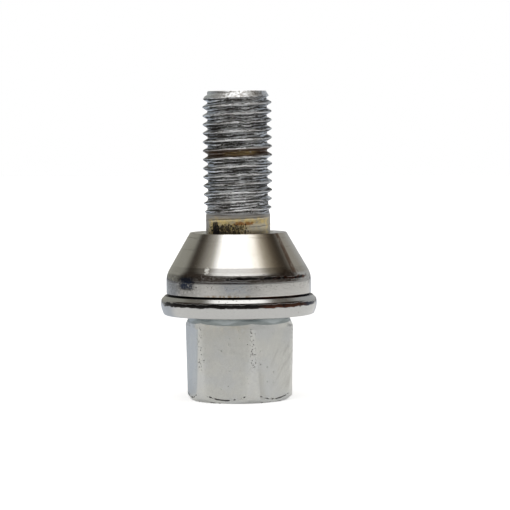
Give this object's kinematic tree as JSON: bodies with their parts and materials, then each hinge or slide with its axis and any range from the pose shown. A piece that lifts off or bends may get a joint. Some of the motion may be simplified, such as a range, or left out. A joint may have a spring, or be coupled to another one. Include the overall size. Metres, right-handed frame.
{
  "type": "wheel bolt",
  "caption": "Hexagon wheel bolt with a forged flange, a threaded shank and a loose conical seat collar that turns on the plain neck.",
  "frame": {"origin": "centre of the end face of the hexagon head, on which the bolt stands", "axes": "+Z along the bolt axis from the head to the threaded end, -Y square to one flat of the hexagon"},
  "size_m": [0.027, 0.027, 0.0531],
  "materials": {
    "bolt_steel": "worn bright chrome, satin on the head and darker in the thread",
    "collar_steel": "polished chrome with fine pits along the shoulder"
  },
  "bodies": {
    "bolt": {"bolt": "bolt_steel"},
    "seat_collar": {"seat_collar": "collar_steel"}
  },
  "joints": [
    {"name": "collar_spin", "type": "hinge", "parent": "bolt", "child": "seat_collar", "pos_m": [0, 0, 0.0233], "axis": [0, 0, 1], "continuous": true}
  ]
}
